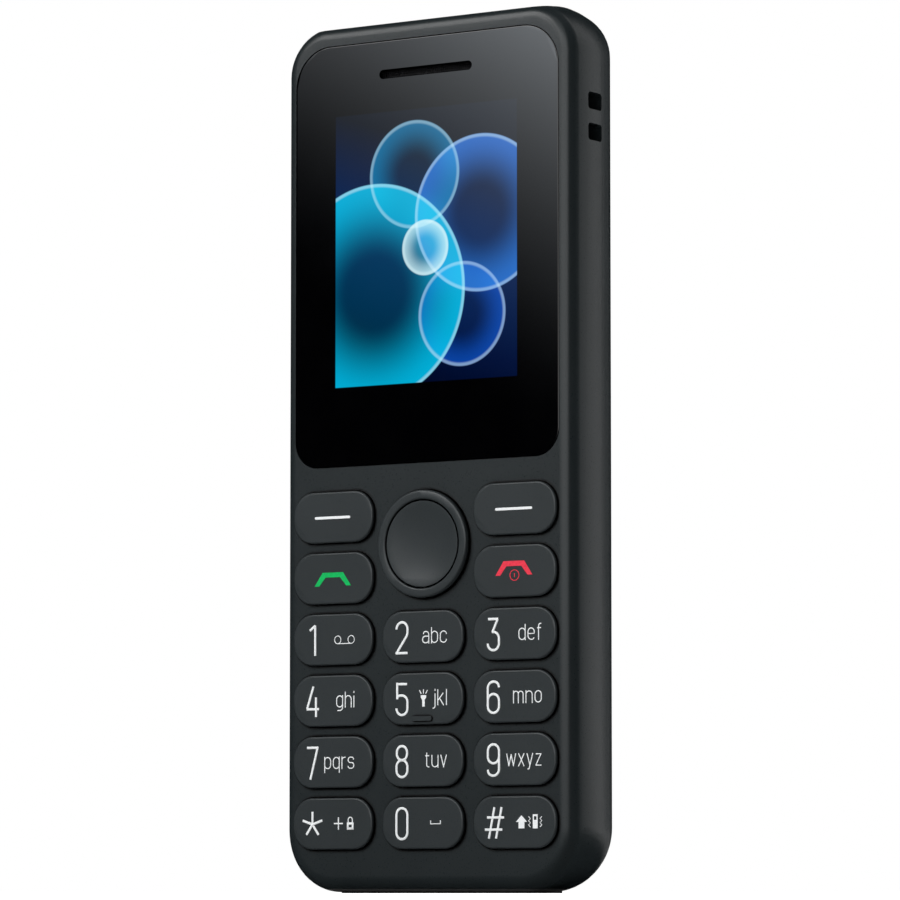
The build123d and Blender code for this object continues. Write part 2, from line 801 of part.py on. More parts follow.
with BuildPart() as chassis_screws:
    with BuildSketch(layer(chassis_back)):
        with Locations(*boss_places):
            Circle(screw_radius)
    extrude(amount=screw_length)
    with BuildSketch(layer(chassis_back)):
        with Locations(*boss_places):
            Circle(screw_head_radius)
    extrude(amount=-screw_head_height)
    with BuildSketch(layer(chassis_back + screw_head_height)):
        with Locations(*boss_places):
            Rectangle(cross_length, cross_width)
            Rectangle(cross_width, cross_length)
    extrude(amount=cross_depth, mode=Mode.SUBTRACT)
save(chassis_screws, "chassis_screws")

# Battery, and the spring contacts that press on its upper end
blade_depth = (battery_front + contact_back) / 2
with BuildPart() as battery:
    with BuildSketch(layer(battery_front)):
        with Locations((0, battery_centre)):
            RectangleRounded(battery_width, battery_height, battery_corner)
    extrude(amount=-battery_thickness)
save(battery, "battery")

with BuildPart() as battery_contacts:
    with BuildSketch(layer(board_back)):
        with Locations((0, contact_centre)):
            Rectangle(contact_width, contact_height)
    extrude(amount=-(contact_back - board_back))
    with BuildSketch(layer(blade_depth - blade_thickness / 2)):
        blade_length = contact_height / 2 + contact_gap - blade_gap
        with Locations((0, contact_centre - blade_length / 2)):
            with GridLocations(blade_pitch, 0, blade_count, 1):
                Rectangle(blade_width, blade_length)
    extrude(amount=-blade_thickness)
save(battery_contacts, "battery_contacts")

# Loudspeaker on its seat, and the mesh inside the cover's slots
loudspeaker = rounded_block(
    speaker_width, speaker_height, (0, speaker_centre), speaker_front, speaker_back, speaker_corner
)
save(loudspeaker, "loudspeaker")

slots_height = (speaker_slot_count - 1) * speaker_slot_spacing + speaker_slot_height
speaker_mesh = rounded_block(
    speaker_slot_width + 2 * speaker_mesh_margin,
    slots_height + 2 * speaker_mesh_margin,
    (0, speaker_centre),
    inner_back_depth - speaker_mesh_thickness,
    inner_back_depth,
    speaker_mesh_margin,
)
save(speaker_mesh, "speaker_mesh")

# Vibration motor along X, and the half-round weight on its shaft
motor_end = motor_start + motor_length
with BuildPart() as vibration_motor:
    with BuildSketch(Plane.YZ.offset(motor_start)):
        with Locations((face_y + motor_depth, motor_height)):
            Circle(motor_radius)
    extrude(amount=motor_length)
    with BuildSketch(Plane.YZ.offset(motor_end)):
        with Locations((face_y + motor_depth, motor_height)):
            Circle(motor_shaft_radius + shaft_gap)
    extrude(amount=-(motor_shaft_inset + shaft_gap), mode=Mode.SUBTRACT)
save(vibration_motor, "vibration_motor")

with BuildPart() as vibration_weight:
    with BuildSketch(Plane.YZ.offset(motor_end + motor_weight_gap)):
        with Locations((face_y + motor_depth, motor_height)):
            Circle(motor_weight_radius)
            with Locations((0, motor_weight_radius)):
                Rectangle(2 * motor_weight_radius, 2 * motor_weight_radius, mode=Mode.SUBTRACT)
    extrude(amount=motor_weight_length)
    with BuildSketch(Plane.YZ.offset(motor_end - motor_shaft_inset)):
        with Locations((face_y + motor_depth, motor_height)):
            Circle(motor_shaft_radius)
    extrude(amount=motor_shaft_inset + motor_weight_gap + motor_weight_length)
save(vibration_weight, "vibration_weight")

# Headphone socket: a block under the top wall with a round nose through it, bored from end to end
with BuildPart() as headphone_socket:
    with BuildSketch(level(jack_bottom)):
        with Locations((jack_offset, face_y + jack_depth)):
            Rectangle(jack_width, jack_thickness)
    extrude(amount=jack_length)
    with BuildSketch(level(body_height)):
        with Locations((jack_offset, face_y + jack_depth)):
            Circle(jack_nose_radius)
    extrude(amount=-(side_wall + seat_gap))
    with BuildSketch(level(body_height)):
        with Locations((jack_offset, face_y + jack_depth)):
            Circle(jack_bore_radius)
    extrude(amount=-(body_height - jack_bottom), mode=Mode.SUBTRACT)
save(headphone_socket, "headphone_socket")

# Torch: a lens through the top wall and the lamp on the board below it
torch_lens_bottom = inner_top - seat_gap - torch_flange_thickness
with BuildPart() as torch_lens:
    with BuildSketch(level(torch_lens_bottom)):
        with Locations((torch_offset, face_y + torch_depth)):
            Circle(torch_lens_radius)
    extrude(amount=body_height - torch_lens_bottom)
    with BuildSketch(level(torch_lens_bottom)):
        with Locations((torch_offset, face_y + torch_depth)):
            Circle(torch_flange_radius)
    extrude(amount=torch_flange_thickness)
save(torch_lens, "torch_lens")

torch_led_centre = torch_lens_bottom - torch_gap - torch_led_height / 2
with BuildPart() as torch_led:
    with BuildSketch(layer(board_back)):
        with Locations((torch_offset, torch_led_centre)):
            Rectangle(torch_led_width, torch_led_height)
    extrude(amount=-torch_led_thickness)
save(torch_led, "torch_led")

# Charging socket with its tongue, and the microphone, both on the back of the board
with BuildPart() as charging_socket:
    with BuildSketch(level(usb_setback)):
        with Locations((0, face_y + board_back + usb_thickness / 2)):
            Rectangle(usb_width, usb_thickness)
    extrude(amount=usb_length)
    with BuildSketch(level(usb_setback)):
        with Locations((0, face_y + board_back + usb_thickness / 2)):
            Rectangle(usb_width - 2 * usb_wall, usb_thickness - 2 * usb_wall)
            Rectangle(usb_tongue_width, usb_tongue_thickness, mode=Mode.SUBTRACT)
    extrude(amount=usb_length - usb_wall, mode=Mode.SUBTRACT)
save(charging_socket, "charging_socket")

with BuildPart() as microphone:
    with BuildSketch(layer(board_back)):
        with Locations((microphone_offset, board_bottom + microphone_height / 2)):
            Rectangle(microphone_width, microphone_height)
    extrude(amount=-microphone_thickness)
save(microphone, "microphone")

# Antenna: a strip with two legs on the back of the chassis
antenna_centre = (antenna_left + antenna_right) / 2
with BuildPart() as antenna:
    with BuildSketch(layer(chassis_back)):
        with Locations((antenna_centre, antenna_top - antenna_strip / 2)):
            Rectangle(antenna_right - antenna_left, antenna_strip)
        with Locations(
            (antenna_left + antenna_strip / 2, antenna_top - antenna_height / 2),
            (antenna_centre, antenna_top - antenna_height / 2),
        ):
            Rectangle(antenna_strip, antenna_height)
    extrude(amount=-antenna_thickness)
save(antenna, "antenna")
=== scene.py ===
import json
import math

import bmesh
import bpy
from mathutils import Matrix, Vector
from mathutils.bvhtree import BVHTree


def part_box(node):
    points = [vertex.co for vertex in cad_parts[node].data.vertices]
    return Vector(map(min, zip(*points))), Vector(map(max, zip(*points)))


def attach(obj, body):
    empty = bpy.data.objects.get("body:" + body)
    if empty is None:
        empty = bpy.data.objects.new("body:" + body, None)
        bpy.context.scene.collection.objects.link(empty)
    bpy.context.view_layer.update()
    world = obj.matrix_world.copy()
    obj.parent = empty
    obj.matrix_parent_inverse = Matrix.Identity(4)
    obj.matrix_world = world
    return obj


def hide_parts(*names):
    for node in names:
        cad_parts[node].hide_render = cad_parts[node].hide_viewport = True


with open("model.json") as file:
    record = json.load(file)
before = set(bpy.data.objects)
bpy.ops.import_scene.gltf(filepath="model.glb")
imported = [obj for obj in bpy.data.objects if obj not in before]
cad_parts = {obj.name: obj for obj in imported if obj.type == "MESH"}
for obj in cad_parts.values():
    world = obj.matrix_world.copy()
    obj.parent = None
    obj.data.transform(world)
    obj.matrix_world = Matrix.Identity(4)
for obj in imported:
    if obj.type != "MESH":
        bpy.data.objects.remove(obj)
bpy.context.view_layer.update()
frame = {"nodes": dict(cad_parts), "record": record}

# A keypad phone standing upright. Lengths are in millimetres here and become metres through MM.
MM = 0.001
scene = bpy.context.scene
nodes_of_phone = frame["nodes"]
nodes_of_body = frame["record"]["behaviour"]["bodies"]
body_of_node = {node: body for body, nodes in nodes_of_body.items() for node in nodes}
slot_of_node = {entry["node"]: entry["material_slot"] for entry in frame["record"]["subparts"]}

# Camera: from the phone's right front, low, looking slightly up
camera_place = Vector((370.4, -537.43, 0.2)) * MM
camera_turn = math.radians(34.6)
camera_rise = math.radians(4.89)
camera_lens = 206.4
camera_sensor = 36.0
camera_near = 10.0

# Noise in the finishes: how much detail it has, and the part of its range over which they change
soft_detail = 3.0
fine_detail = 4.0
noise_low = 0.3
noise_high = 0.7

# Moulded plastic and drawn metal
cloud_size = 9.0
cloud_share = 0.7
sheen_spread = 0.05
drawn_line_scale = 9000.0
drawn_line_depth = 0.01
drawn_line_strength = 0.4
drawn_line_dull = 0.08
drawn_line_bright = 0.06

# How far the painted shade of a gap reaches, and the open shares at which it ends and starts
painted_shade_reach = 0.6
painted_shade_samples = 8
painted_shade_dark_share = 0.78
painted_shade_clear_share = 0.88

# The lit picture in the lens: its place from the lens's edges, and shares of the picture's own size. A rim
# brightens between its start and its end, which are counted inwards in widths of the disc's edge.
picture_side_margin = 6.165
picture_top_margin = 9.08
picture_bottom_margin = 10.06
picture_edge_share = 0.004
picture_lean_share = 0.25
disc_edge_share = 0.008
disc_clear_share = 0.3
disc_clear_level = 0.06
rim_start = 3.0
rim_end = 1.5
rim_level = 0.4

# Grain of the other finishes, and how deep it is
smear_size = 7.0
ink_grain = 0.25
ink_relief = 0.004
dust_size = 1.2
track_relief = 0.02
wrinkle_size = 5.0
wrinkle_relief = 0.05
haze_size = 0.4
haze_relief = 0.02

# The plain band round the battery's wrap
band_foot = 20.0
band_top = 38.0
band_edge = 0.3

# Printed marks on the keys
ink_depth = 0.02 * MM
# Strength of the painted glow of the printed ink
painted_ink_glow = 0.12
digit_stroke = 0.31
letter_stroke = 0.135
fine_stroke = 0.1
digit_offset = -3.1
digit_drop = 0.07
letter_drop = 0.8
letter_gap = 0.42
corner_steps = 8
stroke_lift = 0.002


class Value:
    """A node's output. Arithmetic on it adds Math nodes."""

    def __init__(self, nodes, socket):
        self.nodes = nodes
        self.socket = socket

    def math(self, operation, first, second):
        return self.nodes.node("ShaderNodeMath", {"operation": operation}, {0: first, 1: second})

    def __add__(self, other):
        return self.math("ADD", self, other)

    def __radd__(self, other):
        return self.math("ADD", other, self)

    def __sub__(self, other):
        return self.math("SUBTRACT", self, other)

    def __rsub__(self, other):
        return self.math("SUBTRACT", other, self)

    def __mul__(self, other):
        return self.math("MULTIPLY", self, other)

    def __rmul__(self, other):
        return self.math("MULTIPLY", other, self)

    def __truediv__(self, other):
        return self.math("DIVIDE", self, other)

    def __rtruediv__(self, other):
        return self.math("DIVIDE", other, self)

    def __pow__(self, other):
        return self.math("POWER", self, other)

    def __rpow__(self, other):
        return self.math("POWER", other, self)


class Nodes:
    """A node tree that grows by one method."""

    def __init__(self, tree):
        self.tree = tree

    def node(self, kind, settings=None, values=None, output=0):
        node = self.tree.nodes.new(kind)
        for name, setting in (settings or {}).items():
            if name == "stops":
                while len(node.color_ramp.elements) < len(setting):
                    node.color_ramp.elements.new(1.0)
                for element, (place, colour) in zip(node.color_ramp.elements, setting):
                    element.position = place
                    element.color = colour
            else:
                setattr(node, name, setting)
        for name, value in (values or {}).items():
            self.feed(node.inputs[name], value)
        return Value(self, node.outputs[output])

    def feed(self, socket, value):
        if isinstance(value, Value):
            self.tree.links.new(value.socket, socket)
        else:
            socket.default_value = value


class Finish(Nodes):
    """A procedural material on a Principled shader."""

    def __init__(self, name):
        self.material = bpy.data.materials.new(name)
        self.material.use_nodes = True
        super().__init__(self.material.node_tree)
        self.shader = self.tree.nodes["Principled BSDF"]
        self.place = self.node("ShaderNodeTexCoord", output="Object")

    def surface(self, values):
        for name, value in values.items():
            self.feed(self.shader.inputs[name], value)
        return self.material

    def axes(self):
        split = {"Vector": self.place}
        return [self.node("ShaderNodeSeparateXYZ", None, split, axis) for axis in ("X", "Y", "Z")]

    def noise(self, grain, detail=soft_detail):
        """Noise whose grains are about as wide as the given length."""
        values = {"Vector": self.place, "Scale": 1.0 / grain, "Detail": detail}
        return self.node("ShaderNodeTexNoise", None, values)

    def ramp(self, factor, *stops):
        return self.node("ShaderNodeValToRGB", {"stops": stops}, {"Fac": factor})

    def between(self, value, low, high, start, end):
        """A smooth step of a value from start to end."""
        return self.node(
            "ShaderNodeMapRange",
            {"interpolation_type": "SMOOTHSTEP"},
            {"Value": value, "From Min": low, "From Max": high, "To Min": start, "To Max": end},
        )

    def tones(self, noise, dark_colour, colour):
        """A change of colour over the middle of a noise's range."""
        return self.ramp(noise, (noise_low, dark_colour), (noise_high, colour))

    def sheen(self, noise, start, end):
        """A change of roughness over the middle of a noise's range."""
        return self.between(noise, noise_low, noise_high, start, end)

    def inside(self, share, edge):
        """One where a share lies between 0 and 1, with soft ends."""
        return self.between(share, 0.0, edge, 0.0, 1.0) * self.between(share, 1.0 - edge, 1.0, 1.0, 0.0)

    def mix(self, factor, first, second, way="MIX"):
        settings = {"data_type": "RGBA", "blend_type": way}
        return self.node("ShaderNodeMix", settings, {0: factor, 6: first, 7: second}, 2)

    def tinted(self, level, tint=(1.0, 1.0, 1.0)):
        """A colour whose channels are shares of one level."""
        shares = {channel: level * share for channel, share in enumerate(tint)}
        return self.node("ShaderNodeCombineColor", None, shares)

    def bump(self, height, depth, strength=1.0):
        values = {"Height": height, "Distance": depth, "Strength": strength}
        return self.node("ShaderNodeBump", None, values)

    def crevices(self, reach):
        """One in the open, falling to zero where other surfaces stand close around, as in gaps."""
        settings = {"samples": painted_shade_samples}
        return self.node("ShaderNodeAmbientOcclusion", settings, {"Distance": reach}, "AO")


def rgb(red, green, blue):
    """A colour written as on a screen, 0 to 255, as the shader wants it."""
    linear = []
    for level in (red, green, blue):
        share = level / 255
        linear.append(share / 12.92 if share <= 0.04045 else ((share + 0.055) / 1.055) ** 2.4)
    return (*linear, 1.0)


white = (1.0, 1.0, 1.0, 1.0)
black = (0.0, 0.0, 0.0, 1.0)
# Painted shade: the near-black painted into narrow gaps and at the foot of raised keys
painted_gap_shade = rgb(2, 2, 3)


def moulded(name, colour, dark_colour, roughness, grain, depth, gloss=0.5, painted_shade_colour=None):
    """Moulded plastic: a fine spark-eroded grain, with faint cloudy changes of tone and sheen.
    With a shade colour, painted shade darkens it in narrow gaps and at the foot of raised keys."""
    finish = Finish(name)
    clouds = finish.noise(cloud_size * MM)
    pits = finish.noise(grain * MM, fine_detail)
    tone = finish.tones(clouds * cloud_share + pits * (1 - cloud_share), dark_colour, colour)
    # Painted shade: where other surfaces stand close, as round the keys, the base colour darkens to stand in
    # for shade
    if painted_shade_colour:
        crevices = finish.crevices(painted_shade_reach * MM)
        unshaded_share = finish.between(crevices, painted_shade_dark_share, painted_shade_clear_share, 0.0, 1.0)
        tone = finish.mix(unshaded_share, painted_shade_colour, tone)
    return finish.surface({
        "Base Color": tone,
        "Roughness": finish.sheen(pits, roughness + sheen_spread, roughness - sheen_spread),
        "Specular IOR Level": gloss,
        "Normal": finish.bump(pits, depth * MM),
    })


def brushed(name, colour, dark_colour, roughness, along):
    """Sheet metal with fine lines drawn along one axis."""
    finish = Finish(name)
    stretch = finish.node("ShaderNodeMapping", None, {"Vector": finish.place, "Scale": along})
    values = {"Vector": stretch, "Scale": drawn_line_scale, "Detail": soft_detail}
    lines = finish.node("ShaderNodeTexNoise", None, values)
    return finish.surface({
        "Base Color": finish.tones(lines, dark_colour, colour),
        "Metallic": 1.0,
        "Roughness": finish.sheen(lines, roughness + drawn_line_dull, roughness - drawn_line_bright),
        "Normal": finish.bump(lines, drawn_line_depth * MM, drawn_line_strength),
    })


# The picture: clear discs with bright rims on a deep blue ground. A disc has the shares of the picture's
# width and height where its middle is, its radius as a share of the width, its colour and its strength.
picture_ground = (
    (0.0, rgb(0, 2, 8)),
    (0.3, rgb(0, 16, 56)),
    (0.65, rgb(2, 36, 84)),
    (1.0, rgb(4, 12, 26)),
)
rim_colour = rgb(205, 240, 250)
picture_discs = (
    (0.22, 0.34, 0.50, rgb(0, 176, 216), 0.95),
    (0.80, 0.60, 0.36, rgb(40, 112, 205), 0.85),
    (0.44, 0.76, 0.25, rgb(0, 120, 170), 0.75),
    (0.70, 0.24, 0.24, rgb(10, 70, 170), 0.85),
    (0.50, 0.49, 0.13, rgb(190, 226, 236), 0.80),
)


def glass_lens(lens_low, lens_high):
    """The gloss black lens, with the lit picture showing through its window."""
    finish = Finish("lens gloss")
    across, _, up = finish.axes()
    left = lens_low[0] + picture_side_margin * MM
    right = lens_high[0] - picture_side_margin * MM
    foot = lens_low[2] + picture_bottom_margin * MM
    head = lens_high[2] - picture_top_margin * MM
    u = (across - left) / (right - left)
    v = (up - foot) / (head - foot)
    window = finish.inside(u, picture_edge_share) * finish.inside(v, picture_edge_share)
    picture = finish.ramp(v + u * picture_lean_share, *picture_ground)
    for place_u, place_v, radius, colour, strength in picture_discs:
        away_u = u - place_u
        away_v = (v - place_v) * ((head - foot) / (right - left))
        away = (away_u * away_u + away_v * away_v) ** 0.5
        disc = finish.between(away, radius, radius - disc_edge_share, 0.0, strength)
        glow = finish.between(away, radius * disc_clear_share, radius, disc_clear_level, 1.0)
        picture = finish.mix(disc * glow, picture, colour, "SCREEN")
        rim_from = radius - rim_start * disc_edge_share
        rim_to = radius - rim_end * disc_edge_share
        rim = finish.between(away, rim_from, rim_to, 0.0, rim_level)
        picture = finish.mix(disc * rim, picture, rim_colour, "SCREEN")
    smears = finish.noise(smear_size * MM, fine_detail)
    return finish.surface({
        "Base Color": finish.tones(smears, rgb(1, 1, 2), rgb(3, 3, 4)),
        "Roughness": finish.between(smears, 0.35, 0.75, 0.03, 0.055),
        "Specular IOR Level": 0.5,
        "Emission Color": finish.mix(window, black, picture),
        "Emission Strength": 1.0,
    })


def ink(name, colour, worn_colour):
    """Printed ink: nearly flat, a little uneven in cover, with a faint painted glow."""
    finish = Finish(name)
    cover = finish.noise(ink_grain * MM)
    printed = finish.ramp(cover, (0.25, worn_colour), (0.6, colour))
    return finish.surface({
        "Base Color": printed,
        # Painted glow: the ink gives off a little light of its own
        "Emission Color": printed,
        "Emission Strength": painted_ink_glow,
        "Roughness": finish.sheen(cover, 0.5, 0.38),
        "Specular IOR Level": 0.12,
        "Normal": finish.bump(cover, ink_relief * MM),
    })


def circuit_board():
    """Green board with copper tracks under the lacquer."""
    finish = Finish("board lacquer")
    tracks = finish.node(
        "ShaderNodeTexBrick", {"offset": 0.5},
        {"Vector": finish.place, "Scale": 420.0, "Mortar Size": 0.03, "Mortar Smooth": 0.1}, "Fac",
    )
    dust = finish.noise(dust_size * MM, fine_detail)
    lacquer = finish.tones(dust, rgb(14, 62, 34), rgb(24, 86, 48))
    return finish.surface({
        "Base Color": finish.mix(tracks, lacquer, rgb(70, 120, 62)),
        "Roughness": finish.sheen(dust, 0.42, 0.3),
        "Normal": finish.bump(tracks, track_relief * MM),
    })


def battery_label():
    """The battery's grey wrap, with a plain band across it."""
    finish = Finish("battery wrap")
    _, _, up = finish.axes()
    wrinkles = finish.noise(wrinkle_size * MM)
    above_foot = finish.between(up, band_foot * MM, (band_foot + band_edge) * MM, 0.0, 1.0)
    below_top = finish.between(up, band_top * MM, (band_top + band_edge) * MM, 1.0, 0.0)
    wrap = finish.tones(wrinkles, rgb(92, 95, 98), rgb(112, 115, 118))
    return finish.surface({
        "Base Color": finish.mix(above_foot * below_top, wrap, rgb(52, 54, 57)),
        "Roughness": finish.sheen(wrinkles, 0.5, 0.36),
        "Normal": finish.bump(wrinkles, wrinkle_relief * MM),
    })


def clear_lens():
    """The torch's clear plastic lens, faintly hazy."""
    finish = Finish("torch clear")
    haze = finish.noise(haze_size * MM)
    return finish.surface({
        "Base Color": finish.tones(haze, rgb(225, 228, 230), rgb(238, 240, 242)),
        "Roughness": finish.sheen(haze, 0.08, 0.16),
        "Transmission Weight": 0.85,
        "IOR": 1.49,
        "Normal": finish.bump(haze, haze_relief * MM),
    })


shell_charcoal = moulded(
    "shell charcoal", rgb(36, 42, 44), rgb(31, 37, 39),
    roughness=0.32, grain=0.16, depth=0.008, gloss=0.3, painted_shade_colour=painted_gap_shade,
)
key_satin = moulded(
    "key satin", rgb(52, 57, 59), rgb(48, 53, 55),
    roughness=0.32, grain=0.12, depth=0.006, gloss=0.25, painted_shade_colour=painted_gap_shade,
)
black_moulding = moulded(
    "black moulding", rgb(30, 31, 32), rgb(22, 23, 24), roughness=0.55, grain=0.3, depth=0.02
)
white_moulding = moulded(
    "white moulding", rgb(214, 214, 211), rgb(200, 200, 196), roughness=0.5, grain=0.3, depth=0.01
)
soft_silicone = moulded(
    "soft silicone", rgb(180, 183, 184), rgb(166, 169, 170), roughness=0.62, grain=0.4, depth=0.015, gloss=0.3
)
tape_black = moulded(
    "tape black", rgb(26, 26, 27), rgb(18, 18, 19), roughness=0.8, grain=0.2, depth=0.01, gloss=0.3
)
panel_glass = moulded(
    "panel glass", rgb(16, 30, 44), rgb(12, 24, 36), roughness=0.12, grain=0.5, depth=0.001
)
phosphor_yellow = moulded(
    "phosphor yellow", rgb(236, 214, 92), rgb(222, 196, 70), roughness=0.35, grain=0.2, depth=0.01
)
spring_steel = brushed("spring steel", rgb(206, 207, 205), rgb(172, 173, 172), 0.3, (1.0, 0.02, 1.0))
mesh_black = brushed("mesh black", rgb(34, 34, 36), rgb(16, 16, 17), 0.45, (1.0, 1.0, 0.05))
tungsten_grey = brushed("tungsten grey", rgb(150, 150, 153), rgb(118, 118, 121), 0.4, (0.02, 1.0, 1.0))
copper_foil = brushed("copper foil", rgb(222, 168, 122), rgb(196, 138, 96), 0.32, (0.02, 1.0, 1.0))
ink_white = ink("ink white", rgb(246, 249, 250), rgb(234, 237, 238))
ink_green = ink("ink green", rgb(10, 190, 96), rgb(8, 172, 84))
ink_red = ink("ink red", rgb(240, 62, 82), rgb(222, 50, 70))

finish_of_slot = {
    "shell_plastic": shell_charcoal,
    "lens_black": glass_lens(*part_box("screen_lens")),
    "adhesive": tape_black,
    "display_glass": panel_glass,
    "white_plastic": white_moulding,
    "black_mesh": mesh_black,
    "black_plastic": black_moulding,
    "key_plastic": key_satin,
    "silicone": soft_silicone,
    "spring_steel": spring_steel,
    "board_green": circuit_board(),
    "battery_wrap": battery_label(),
    "tungsten": tungsten_grey,
    "lamp_yellow": phosphor_yellow,
    "clear_plastic": clear_lens(),
    "copper": copper_foil,
}


def give_finish(piece, material):
    piece.data.materials.clear()
    piece.data.materials.append(material)


def add_piece(name, mesh, body, material):
    """Puts a finished mesh in the scene, riding on a body of the phone."""
    piece = bpy.data.objects.new(name, mesh)
    scene.collection.objects.link(piece)
    give_finish(piece, material)
    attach(piece, body)
    return piece


# The front shell's side walls, as depths behind the front face: round front edge, flat and round back.
# They are crowned: parabolas fall from the widest place and run into the round edges at these slopes.
# The crown fades where a wall turns to the foot. A wall is an outer one if a ray from just off it gets away.
front_edge = 2.1
flat_end = 6.9
back_edge = 6.0
top_corner = 6.5
foot_corner = 8.0
cover_line = 10.4
crown_top = 4.6
front_slope = 0.16
back_slope = 0.2
crown_rows = 16
foot_turn = 0.85
ray_start = 0.02

# Smooth copies: how near points are joined, and the angle past which an edge stays sharp
join_distance = 0.0005
sharp_angle = math.radians(28)


def plain_inset(depth):
    """How far the plain wall stands inside its widest place."""
    if depth < front_edge:
        return front_edge - math.sqrt(front_edge ** 2 - (front_edge - depth) ** 2)
    if depth > flat_end:
        return back_edge - math.sqrt(back_edge ** 2 - (depth - flat_end) ** 2)
    return 0.0


def ease(share):
    share = min(max(share, 0.0), 1.0)
    return share * share * (3 - 2 * share)


def crown_at(depth):
    """How much further in the crowned wall stands than the plain one."""
    front_join = front_edge * (1 - math.sin(math.atan(front_slope)))
    back_join = flat_end + back_edge * math.sin(math.atan(back_slope))
    held = min(max(depth, front_join), back_join)
    join, slope = (front_join, front_slope) if held < crown_top else (back_join, back_slope)
    drawn_in = slope * (held - crown_top) ** 2 / abs(join - crown_top) / 2 - plain_inset(held)
    return drawn_in * ease(2 * depth / front_join) * ease((cover_line - depth) / (cover_line - back_join))


def outward_at(point, low, high):
    """The way out through the nearest wall of the rounded outline."""
    upper = point.z > (low.z + high.z) / 2
    radius = (top_corner if upper else foot_corner) * MM
    beside = abs(point.x) - (high.x - radius)
    beyond = point.z - (high.z - radius) if upper else low.z + radius - point.z
    if min(beside, beyond) <= 0:
        beside, beyond = (1.0, 0.0) if beside > beyond else (0.0, 1.0)
    return Vector((math.copysign(beside, point.x), 0.0, beyond if upper else -beyond)).normalized()


def crown_walls(shape, low, high):
    """Draws in the outer walls of the shell, on rows of added points."""
    for row in range(1, crown_rows):
        plane = low.y + cover_line * row / crown_rows * MM
        whole = [*shape.verts, *shape.edges, *shape.faces]
        bmesh.ops.bisect_plane(shape, geom=whole, plane_co=(0, plane, 0), plane_no=(0, 1, 0))
    around = BVHTree.FromBMesh(shape)
    outer = []
    for point in shape.verts:
        outward = outward_at(point.co, low, high)
        if around.ray_cast(point.co + outward * ray_start * MM, outward)[0] is None:
            outer.append((point, outward))
    for point, outward in outer:
        above_foot = ease(1 + outward.z / foot_turn)
        point.co -= outward * crown_at((point.co.y - low.y) / MM) * above_foot * MM


def smooth_copy(node):
    """Stands for a CAD node: the same shape with joined faces, so its round edges shade smoothly."""
    mesh = nodes_of_phone[node].data.copy()
    shape = bmesh.new()
    shape.from_mesh(mesh)
    bmesh.ops.remove_doubles(shape, verts=shape.verts, dist=join_distance * MM)
    if node == "front_shell":
        crown_walls(shape, *(Vector(corner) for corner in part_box(node)))
    shape.to_mesh(mesh)
    shape.free()
    mesh.name = node + "_smooth"
    if "custom_normal" in mesh.attributes:
        mesh.attributes.remove(mesh.attributes["custom_normal"])
    mesh.shade_smooth()
    mesh.set_sharp_from_angle(angle=sharp_angle)
    slot = slot_of_node[node]
    piece = add_piece(node + "_smooth", mesh, body_of_node[node], finish_of_slot[slot])
    weighted = piece.modifiers.new("even shading", "WEIGHTED_NORMAL")
    weighted.keep_sharp = True
    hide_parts(node)


def new_tree(name, inputs, result):
    """An empty Geometry Nodes tree: its nodes, and its inputs by name."""
    tree = bpy.data.node_groups.new(name, "GeometryNodeTree")
    for title, kind in inputs.items():
        tree.interface.new_socket(title, in_out="INPUT", socket_type="NodeSocket" + kind)
    tree.interface.new_socket(result, in_out="OUTPUT", socket_type="NodeSocketGeometry")
    nodes = Nodes(tree)
    given = tree.nodes.new("NodeGroupInput")
    return nodes, {socket.name: Value(nodes, socket) for socket in given.outputs if socket.name}


def finished_tree(nodes, result, geometry, material):
    """Ends a tree in real geometry of one material."""
    real = nodes.node("GeometryNodeRealizeInstances", None, {"Geometry": geometry})
    shown = nodes.node("GeometryNodeSetMaterial", None, {"Geometry": real, "Material": material})
    end = nodes.tree.nodes.new("NodeGroupOutput")
    nodes.feed(end.inputs[result], shown)
    return nodes.tree


def stroke_tree():
    """Turns chains of edges into flat printed strokes with rounded corners."""
    nodes, given = new_tree("printed strokes", {
        "Chains": "Geometry", "Stroke Width": "Float", "Ink Depth": "Float", "Corner Steps": "Int",
        "Ink": "Material",
    }, "Strokes")
    corner = nodes.node("GeometryNodeInputNamedAttribute", {"data_type": "FLOAT"}, {"Name": "corner"})
    lines = nodes.node("GeometryNodeMeshToCurve", None, {"Mesh": given["Chains"]})
    rounded = nodes.node(
        "GeometryNodeFilletCurve", {"mode": "POLY"},
        {"Curve": lines, "Count": given["Corner Steps"], "Radius": corner, "Limit Radius": True},
    )
    flat = nodes.node("GeometryNodeSetCurveNormal", {"mode": "Z_UP"}, {"Curve": rounded})
    section = nodes.node(
        "GeometryNodeCurvePrimitiveQuadrilateral", None,
        {"Width": given["Stroke Width"], "Height": given["Ink Depth"]},
    )
    ribbon = nodes.node(
        "GeometryNodeCurveToMesh", None, {"Curve": flat, "Profile Curve": section, "Fill Caps": True}
    )
    return finished_tree(nodes, "Strokes", ribbon, given["Ink"])


printed_strokes = stroke_tree()


def made_by(tree, carrier_mesh, settings):
    """The plain mesh that a Geometry Nodes tree makes of a carrier."""
    carrier = bpy.data.objects.new("carrier", carrier_mesh)
    scene.collection.objects.link(carrier)
    modifier = carrier.modifiers.new(tree.name, "NODES")
    modifier.node_group = tree
    for item in tree.interface.items_tree:
        if item.in_out == "INPUT" and item.name in settings:
            modifier[item.identifier] = settings[item.name]
    ready = carrier.evaluated_get(bpy.context.evaluated_depsgraph_get())
    mesh = bpy.data.meshes.new_from_object(ready)
    carrier.modifiers.remove(modifier)
    bpy.data.objects.remove(carrier)
    return mesh


